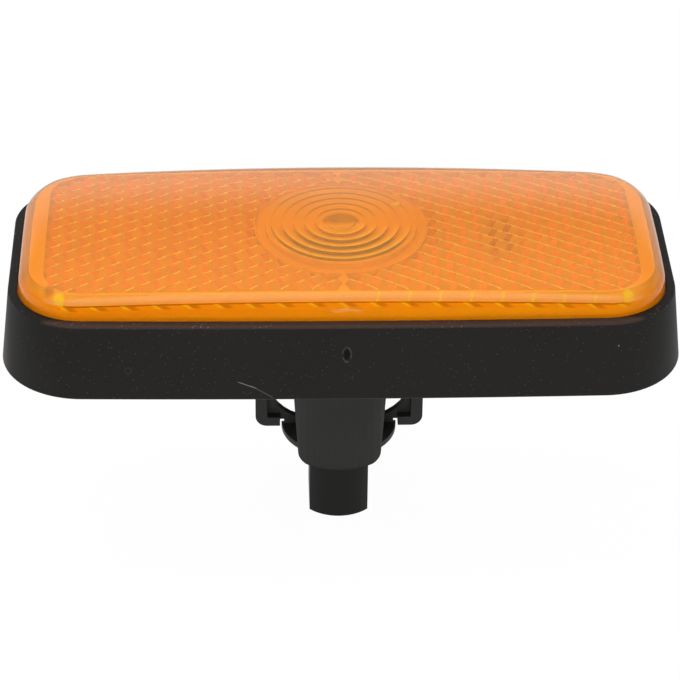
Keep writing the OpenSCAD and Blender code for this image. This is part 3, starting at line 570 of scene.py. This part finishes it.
def prismTree():
    tree = bpy.data.node_groups.new("prismField", "GeometryNodeTree")
    face = tree.interface
    face.new_socket("Geometry", in_out="INPUT", socket_type="NodeSocketGeometry")
    sizes = {}
    for label in ("Prism size", "Tip height"):
        sizes[label] = face.new_socket(label, in_out="INPUT", socket_type="NodeSocketFloat").identifier
    sizes["Finish"] = face.new_socket("Finish", in_out="INPUT", socket_type="NodeSocketMaterial").identifier
    face.new_socket("Geometry", in_out="OUTPUT", socket_type="NodeSocketGeometry")

    def add(kind, settings=None, links=None):
        node = tree.nodes.new(kind)
        for key, value in (settings or {}).items():
            setattr(node, key, value)
        for key, value in (links or {}).items():
            if isinstance(value, bpy.types.NodeSocket):
                tree.links.new(value, node.inputs[key])
            else:
                node.inputs[key].default_value = value
        return node

    start = add("NodeGroupInput")
    edge = add("ShaderNodeMath", {"operation": "MULTIPLY"}, {0: start.outputs["Prism size"], 1: 1 / math.sqrt(2)})
    cube = add("GeometryNodeMeshCube", links={"Size": edge.outputs[0]})
    turned = add("GeometryNodeTransform", links={"Geometry": cube.outputs["Mesh"], "Rotation": tuple(cubeTurn())})
    normal = add("ShaderNodeSeparateXYZ", links={0: add("GeometryNodeInputNormal").outputs[0]})
    upper = add("FunctionNodeCompare", {"operation": "GREATER_THAN"}, {0: normal.outputs["Z"], 1: 0.0})
    corner = add("GeometryNodeDeleteGeometry", {"domain": "FACE"},
                 {"Geometry": turned.outputs[0], "Selection": upper.outputs[0]})
    half = add("ShaderNodeMath", {"operation": "MULTIPLY"}, {0: edge.outputs[0], 1: math.sqrt(3) / 2})
    lift = add("ShaderNodeMath", {"operation": "ADD"}, {0: half.outputs[0], 1: start.outputs["Tip height"]})
    raised = add("ShaderNodeCombineXYZ", links={2: lift.outputs[0]})
    placed = add("GeometryNodeTransform", links={"Geometry": corner.outputs[0], "Translation": raised.outputs[0]})
    repeat = add("GeometryNodeInstanceOnPoints",
                 links={"Points": start.outputs["Geometry"], "Instance": placed.outputs[0]})
    real = add("GeometryNodeRealizeInstances", links={"Geometry": repeat.outputs[0]})
    mirrored = add("GeometryNodeTransform", links={"Geometry": real.outputs[0], "Scale": (-1, 1, 1)})
    flipped = add("GeometryNodeFlipFaces", links={"Mesh": mirrored.outputs[0]})
    both = add("GeometryNodeJoinGeometry")
    tree.links.new(real.outputs[0], both.inputs[0])
    tree.links.new(flipped.outputs[0], both.inputs[0])
    merged = add("GeometryNodeMergeByDistance",
                 links={"Geometry": both.outputs[0], "Distance": prismShape["weld"]})
    coloured = add("GeometryNodeSetMaterial",
                   links={"Geometry": merged.outputs[0], "Material": start.outputs["Finish"]})
    add("NodeGroupOutput", links={"Geometry": coloured.outputs[0]})
    return tree, sizes


def bakeNodes(obj, tree, values):
    modifier = obj.modifiers.new("nodes", "NODES")
    modifier.node_group = tree
    for identifier, value in values.items():
        modifier[identifier] = value
    depsgraph = bpy.context.evaluated_depsgraph_get()
    mesh = bpy.data.meshes.new_from_object(obj.evaluated_get(depsgraph))
    obj.modifiers.remove(modifier)
    return mesh


def prismCentres():
    s, p, o = lensShape, prismShape, opticShape
    side = p["size"] / math.sqrt(3)
    fieldX = s["length"] / 2 - s["wall"] - p["endMargin"]
    fieldY = s["width"] / 2 - s["bow"] - s["wall"] - p["sideMargin"]
    firstX = -side - p["gap"] / 2
    centres = []
    for column in range(int((fieldX + firstX + side) / (1.5 * side)) + 1):
        for row in range(-int(fieldY / p["size"]) - 2, int(fieldY / p["size"]) + 3):
            x, y = firstX - 1.5 * side * column, (row + (column % 2) / 2) * p["size"]
            if abs(y) < fieldY + p["size"] / 2 and math.hypot(x, y) > o["radius"] - side:
                centres.append((x, y))
    return centres


def meshObject(name, bm, slots):
    bmesh.ops.recalc_face_normals(bm, faces=bm.faces)
    mesh = bpy.data.meshes.new(name)
    bm.to_mesh(mesh)
    bm.free()
    for material in slots:
        mesh.materials.append(material)
    obj = bpy.data.objects.new(name, mesh)
    scene.collection.objects.link(obj)
    return obj


def carve(target, other, operation):
    modifier = target.modifiers.new("carve", "BOOLEAN")
    modifier.operation = operation
    modifier.solver = "EXACT"
    modifier.object = other
    depsgraph = bpy.context.evaluated_depsgraph_get()
    mesh = bpy.data.meshes.new_from_object(target.evaluated_get(depsgraph))
    target.modifiers.remove(modifier)
    target.data = mesh
    bpy.data.objects.remove(other)


def columnObject(name, outline, low, high, slots):
    bm = bmesh.new()
    bottom = [bm.verts.new((x, y, low)) for x, y in outline]
    top = [bm.verts.new((x, y, high)) for x, y in outline]
    bandFaces(bm, bottom, top, innerSlot)
    for cap in (bottom, top):
        bm.faces.new(cap).material_index = innerSlot
    return meshObject(name, bm, slots)


def prismSolid(slots, innerTop):
    p = prismShape
    points = bpy.data.meshes.new("prismPoints")
    points.from_pydata([(x, y, 0.0) for x, y in prismCentres()], [], [])
    carrier = bpy.data.objects.new("prismPoints", points)
    scene.collection.objects.link(carrier)
    tree, inputs = prismTree()
    tipHeight = innerTop - p["base"] - 2 * p["size"] / math.sqrt(6)
    field = bakeNodes(carrier, tree, {inputs["Prism size"]: p["size"], inputs["Tip height"]: tipHeight,
                                      inputs["Finish"]: finishes["amberWide"]})
    bpy.data.objects.remove(carrier)
    bm = bmesh.new()
    bm.from_mesh(field)
    # painted light and shade: each prism face takes the wide, coral or line tone by the way it faces
    for face in bm.faces:
        facing = face.normal.y / p["facing"]
        face.material_index = wideSlot if facing > 1 else highlightSlot if facing < -1 else coralSlot
    along = [e for e in bm.edges if not e.is_boundary and abs(e.verts[0].co.y - e.verts[1].co.y) < p["level"]]
    rounded = bmesh.ops.bevel(bm, geom=along, offset=p["edge"], segments=1, profile=0.5, affect="EDGES",
                              clamp_overlap=True)
    # the rounded edges take the line tone, a painted highlight
    for face in rounded["faces"]:
        face.material_index = highlightSlot
    rim = [edge for edge in bm.edges if edge.is_boundary]
    raised = {}
    for vert in {v for edge in rim for v in edge.verts}:
        raised[vert] = bm.verts.new((vert.co.x, vert.co.y, innerTop + p["bite"]))
    for edge in rim:
        a, b = edge.verts
        bm.faces.new((a, b, raised[b], raised[a])).material_index = innerSlot
    lids = [bm.edges.get((raised[edge.verts[0]], raised[edge.verts[1]])) for edge in rim]
    filled = bmesh.ops.triangle_fill(bm, edges=lids, use_beauty=True)
    for face in filled["geom"]:
        if isinstance(face, bmesh.types.BMFace):
            face.material_index = innerSlot
    print("prism field", len(bm.faces), "faces")
    return meshObject("prisms", bm, slots)


def turnedSolid(name, profile, steps, slots):  # profile points: radius, height, material of the band that follows
    bm = bmesh.new()
    turns = [2 * math.pi * k / steps for k in range(steps)]
    rings = [[bm.verts.new((r * math.cos(a), r * math.sin(a), z)) for a in turns] for r, z, material in profile]
    for (low, high), point in zip(zip(rings, rings[1:]), profile):
        bandFaces(bm, low, high, point[2])
    bm.faces.new(rings[0]).material_index = profile[0][2]
    bm.faces.new(rings[-1]).material_index = profile[-1][2]
    return meshObject(name, bm, slots)


def opticSolid(slots, innerTop):
    o = opticShape
    low, top, half = innerTop - o["thick"], innerTop + prismShape["bite"], o["thick"] / 2
    profile = [(o["radius"], top, innerSlot), (o["radius"], low + half, ringSlot), (o["radius"] - half, low, ringSlot),
               (o["rim"], low, innerSlot), (o["rim"], top, innerSlot)]
    return turnedSolid("optic", profile, o["steps"], slots)


def ringCutter(slots, innerTop):
    o = opticShape
    face = innerTop - o["thick"] + o["lift"]
    profile = [(o["rim"], innerTop - o["cutBelow"], innerSlot), (o["rim"], face, ringSlot)]
    for i in reversed(range(o["rings"])):
        r = o["first"] + i * o["pitch"]
        profile += [(r, face, ringSlot), (r, face + o["depth"], ringSlot)]
    for i in range(1, o["domeSteps"]):
        f = 1 - i / o["domeSteps"]
        profile.append((o["first"] * f, face + o["depth"] - (o["depth"] + o["dome"]) * (1 - f * f), ringSlot))
    return turnedSolid("ringCutter", profile, o["steps"], slots)


def makeLens():
    s, p, o = lensShape, prismShape, opticShape
    steps = (s["cornerSteps"], s["sideSteps"], s["endSteps"])
    lensTop = s["surround"] + s["rise"]
    innerTop = lensTop - s["top"]
    flangeTop = s["surround"] - s["lip"]
    foot = flangeTop - s["foot"]
    names = ("amberSkin", "amberInner", "amberWide", "amberCoral", "amberHighlightLine", "amberRings")
    slots = [finishes[name] for name in names]

    # inner wall, foot, flange, outer wall and rounded top
    bm = bmesh.new()
    rings = [(s["wall"], innerTop, False), (s["wall"], foot, False), (-s["flangeOut"], foot, False),
             (-s["flangeOut"], flangeTop, False), (0, flangeTop, False), (0, s["surround"], False)]
    for i in range(s["edgeSteps"] + 1):
        a = math.radians(90 * i / s["edgeSteps"])
        inset = s["draft"] + s["edgeWide"] * (1 - math.cos(a))
        rings.append((inset, lensTop - s["edge"] * (1 - math.sin(a)), True))
    loops = [ringVerts(bm, *ring, steps) for ring in rings]
    for i, (low, high) in enumerate(zip(loops, loops[1:])):
        bandFaces(bm, low, high, innerSlot if i == 0 else skinSlot)
    bm.faces.new(loops[0]).material_index = innerSlot
    crownedLid(bm, loops[-1], lensTop, s["endSteps"])
    shell = meshObject("lensShell", bm, slots)

    # prisms are cut to the field's outline and round the optic
    prisms = prismSolid(slots, innerTop)
    r = s["corner"] - s["wall"] - p["endMargin"]
    cx = s["length"] / 2 - s["wall"] - p["endMargin"] - r
    cy = s["width"] / 2 - s["bow"] - s["wall"] - p["sideMargin"] - r
    outline = []
    for sx, sy, turn in ((1, 1, 0), (-1, 1, 90), (-1, -1, 180), (1, -1, 270)):
        outline += arcPoints(sx * cx, sy * cy, r, turn, turn + 90, p["outlineSteps"])
    low, high = innerTop - p["cutBelow"], innerTop + p["cutAbove"]
    carve(prisms, columnObject("fieldEdge", outline, low, high, slots), "INTERSECT")
    hole = arcPoints(0, 0, o["radius"] + p["opticMargin"], 0, 360, p["holeSteps"])[:-1]
    carve(prisms, columnObject("opticEdge", hole, low, high, slots), "DIFFERENCE")
    carve(shell, prisms, "UNION")
    carve(shell, opticSolid(slots, innerTop), "UNION")
    carve(shell, ringCutter(slots, innerTop), "DIFFERENCE")
    bm = bmesh.new()
    bm.from_mesh(shell.data)
    bpy.data.objects.remove(shell)
    bmesh.ops.remove_doubles(bm, verts=bm.verts, dist=s["weld"])
    print("lens open edges", sum(1 for e in bm.edges if not e.is_manifold), "faces", len(bm.faces))
    return makePiece("lensBody", bm, slots, s["sharp"])


lens = makeLens()
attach(lens, "root")
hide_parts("lens")
print("lens made")


# Rubber surround: one section swept round the lens outline
surroundShape = {"flare": 3.3, "lipWidth": 1.75, "lipRadius": 0.35, "footRadius": 0.6, "wall": 2.4,
                 "channel": 1.4, "innerFoot": 1.4, "channelHeight": 5.8, "fit": 0.1, "trayFlange": 1.5,
                 "cornerSteps": 28, "sideSteps": 40, "endSteps": 2, "roundSteps": 6, "sharp": 0.7}


def makeSurround():
    s, g = lensShape, surroundShape
    flangeTop = s["surround"] - s["lip"]
    under = flangeTop - s["foot"] - g["trayFlange"]
    outerWall = g["wall"] - g["flare"]
    innerFoot = outerWall + g["channel"] + g["innerFoot"]
    groove = -s["flangeOut"] - g["fit"]
    turns = [math.radians(90 * i / g["roundSteps"]) for i in range(g["roundSteps"] + 1)]
    foot = [(g["footRadius"] * (1 - math.cos(a)) - g["flare"], g["footRadius"] * (1 - math.sin(a)))
            for a in reversed(turns)]
    lip = [(-g["lipWidth"] + g["lipRadius"] * (1 - math.cos(a)), s["surround"] - g["lipRadius"] * (1 - math.sin(a)))
           for a in turns]
    section = [(-g["fit"], s["surround"]), (-g["fit"], flangeTop + g["fit"]), (groove, flangeTop + g["fit"]),
               (groove, under - g["fit"]), (innerFoot, under - g["fit"]), (innerFoot, 0),
               (innerFoot - g["innerFoot"], 0), (innerFoot - g["innerFoot"], g["channelHeight"]),
               (outerWall, g["channelHeight"]), (outerWall, 0)] + foot + lip
    bm = bmesh.new()
    steps = (g["cornerSteps"], g["sideSteps"], g["endSteps"])
    loops = [ringVerts(bm, inset, z, False, steps) for inset, z in section]
    for low, high in zip(loops, loops[1:] + loops[:1]):
        bandFaces(bm, low, high)
    bmesh.ops.recalc_face_normals(bm, faces=bm.faces)
    return makePiece("rubberSurround", bm, [finishes["rubberSurround"]], g["sharp"])


surround = makeSurround()
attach(surround, "root")
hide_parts("gasket")
print("surround made")


# Filament: a fine coil between the two wires, by Geometry Nodes
coilShape = {"length": 4.2, "height": 5.5, "turns": 13.0, "radius": 0.25, "wire": 0.05, "turnSteps": 14,
             "wireSteps": 8, "sharp": 0.9}


def coilTree():
    tree = bpy.data.node_groups.new("filamentCoil", "GeometryNodeTree")
    face = tree.interface
    face.new_socket("Geometry", in_out="INPUT", socket_type="NodeSocketGeometry")
    sizes = {}
    for label in ("Turns", "Coil radius", "Coil length", "Wire radius"):
        sizes[label] = face.new_socket(label, in_out="INPUT", socket_type="NodeSocketFloat").identifier
    sizes["Finish"] = face.new_socket("Finish", in_out="INPUT", socket_type="NodeSocketMaterial").identifier
    face.new_socket("Geometry", in_out="OUTPUT", socket_type="NodeSocketGeometry")
    nodes, links = tree.nodes, tree.links
    start = nodes.new("NodeGroupInput")
    spiral = nodes.new("GeometryNodeCurveSpiral")
    spiral.inputs["Resolution"].default_value = coilShape["turnSteps"]
    links.new(start.outputs["Turns"], spiral.inputs["Rotations"])
    links.new(start.outputs["Coil radius"], spiral.inputs["Start Radius"])
    links.new(start.outputs["Coil radius"], spiral.inputs["End Radius"])
    links.new(start.outputs["Coil length"], spiral.inputs["Height"])
    section = nodes.new("GeometryNodeCurvePrimitiveCircle")
    section.inputs["Resolution"].default_value = coilShape["wireSteps"]
    links.new(start.outputs["Wire radius"], section.inputs["Radius"])
    tube = nodes.new("GeometryNodeCurveToMesh")
    tube.inputs["Fill Caps"].default_value = True
    links.new(spiral.outputs[0], tube.inputs["Curve"])
    links.new(section.outputs[0], tube.inputs["Profile Curve"])
    real = nodes.new("GeometryNodeRealizeInstances")
    links.new(tube.outputs[0], real.inputs[0])
    coloured = nodes.new("GeometryNodeSetMaterial")
    links.new(real.outputs[0], coloured.inputs["Geometry"])
    links.new(start.outputs["Finish"], coloured.inputs["Material"])
    end = nodes.new("NodeGroupOutput")
    links.new(coloured.outputs[0], end.inputs[0])
    return tree, sizes


def makeCoil():
    c = coilShape
    carrier = bpy.data.objects.new("coilCarrier", bpy.data.meshes.new("coilCarrier"))
    scene.collection.objects.link(carrier)
    tree, inputs = coilTree()
    mesh = bakeNodes(carrier, tree, {inputs["Turns"]: c["turns"], inputs["Coil radius"]: c["radius"],
                                     inputs["Coil length"]: c["length"], inputs["Wire radius"]: c["wire"],
                                     inputs["Finish"]: finishes["filamentWire"]})
    bpy.data.objects.remove(carrier)
    bm = bmesh.new()
    bm.from_mesh(mesh)
    lay = Matrix.Translation((0, c["length"] / 2, c["height"])) @ Matrix.Rotation(math.pi / 2, 4, "X")
    bmesh.ops.transform(bm, matrix=lay, verts=bm.verts)
    bmesh.ops.recalc_face_normals(bm, faces=bm.faces)
    return makePiece("filamentCoil", bm, [finishes["filamentWire"]], c["sharp"])


coil = makeCoil()
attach(coil, "root")
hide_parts("filament")
print("filament made")


# CAD pieces that keep their shape take their finishes
cadFinishes = {"housing": "whitePlastic", "retaining_spring": "springSteel", "holder_seal": "sealRubber",
               "bulb_holder": "holderPlastic", "front_contact": "contactBrass", "rear_contact": "contactBrass",
               "bulb_glass": "clearGlass", "front_lead_wire": "leadWire", "rear_lead_wire": "leadWire"}
for node, finishName in cadFinishes.items():
    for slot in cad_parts[node].material_slots:
        slot.material = finishes[finishName]
print("CAD pieces finished")


# Camera, as in the photograph
cameraView = {"place": (-17.809, -513.075, 320.315), "right": (0.99954, -0.02856, 0.01),
              "up": (0.00683, 0.53484, 0.84493), "lens": 167.99, "sensor": 36.0, "clip": 0.01}


def makeCamera():
    right, up = Vector(cameraView["right"]).normalized(), Vector(cameraView["up"]).normalized()
    back = right.cross(up)
    data = bpy.data.cameras.new("photoCamera")
    data.lens = cameraView["lens"]
    data.sensor_width = cameraView["sensor"]
    data.clip_start = cameraView["clip"]
    camera = bpy.data.objects.new("photoCamera", data)
    turn = Matrix((right, up, back)).transposed().to_4x4()
    camera.matrix_world = Matrix.Translation(Vector(cameraView["place"]) * mm) @ turn
    scene.collection.objects.link(camera)
    scene.camera = camera


# Pale floor and white backdrop, soft light from above and in front, whose lamps stay out of reflections
studio = {"floor": -0.0405, "floorSize": 4.0, "floorWhite": 0.97, "paper": rgb(0.8, 0.8, 0.8), "white": rgb(1, 1, 1),
          "keyStrength": 8.2, "keySize": 0.7, "keyPlace": (-0.25, 0.2, 1.1),
          "frontStrength": 15.5, "frontSize": 0.9, "frontPlace": (-0.1, -1.2, 0.35),
          "sky": 1.4, "horizon": 0.45, "skyFade": (0.45, 0.95), "backFade": (0.0, 0.3), "lowFade": (0.3, 0.5)}


def makeStudio():
    size = studio["floorSize"] / 2
    mesh = bpy.data.meshes.new("floor")
    corners = [(sx * size, sy * size, studio["floor"]) for sx, sy in ((-1, -1), (1, -1), (1, 1), (-1, 1))]
    mesh.from_pydata(corners, [], [(0, 1, 2, 3)])
    floor = bpy.data.objects.new("floor", mesh)
    scene.collection.objects.link(floor)
    material = bpy.data.materials.new("floorPaper")
    material.use_nodes = True
    graph = Graph(material.node_tree)
    seen = graph.rays("Is Camera Ray", "Is Glossy Ray", "Is Transmission Ray")
    paper = graph.add("ShaderNodeBsdfDiffuse", values={"Color": studio["paper"]})
    white = graph.add("ShaderNodeEmission", values={"Color": studio["white"], "Strength": 1.0})
    mixed = graph.add("ShaderNodeMixShader", values={0: seen * studio["floorWhite"], 1: paper, 2: white})
    graph.add("ShaderNodeOutputMaterial", values={"Surface": mixed})
    mesh.materials.append(material)

    world = bpy.data.worlds.new("studioWorld")
    world.use_nodes = True
    graph = Graph(world.node_tree)
    depth, up = graph.axes(graph.add("ShaderNodeTexCoord", out=0))[1:]
    level = studio["horizon"] + (studio["sky"] - studio["horizon"]) * (1.0 - up.fade(*studio["skyFade"]))
    sky = graph.add("ShaderNodeBackground", values={"Color": studio["white"], "Strength": level})
    plain = graph.add("ShaderNodeBackground", values={"Color": studio["white"], "Strength": 1.0})
    behind = (1.0 - depth.fade(*studio["backFade"])) * up.fade(*studio["lowFade"])
    seen = graph.rays("Is Camera Ray").most(graph.rays("Is Glossy Ray", "Is Transmission Ray") * behind)
    shown = graph.add("ShaderNodeMixShader", values={0: seen, 1: sky, 2: plain})
    graph.add("ShaderNodeOutputWorld", values={"Surface": shown})
    scene.world = world

    for name in ("key", "front"):
        light = bpy.data.lights.new(name + "Light", "AREA")
        light.shape = "DISK"
        light.size = studio[name + "Size"]
        light.energy = studio[name + "Strength"]
        lamp = bpy.data.objects.new(name + "Light", light)
        lamp.visible_glossy = False
        spot = Vector(studio[name + "Place"])
        lamp.matrix_world = Matrix.Translation(spot) @ spot.to_track_quat("Z", "Y").to_matrix().to_4x4()
        scene.collection.objects.link(lamp)


makeCamera()
makeStudio()
scene.view_settings.view_transform = "Standard"
print("camera and light set")
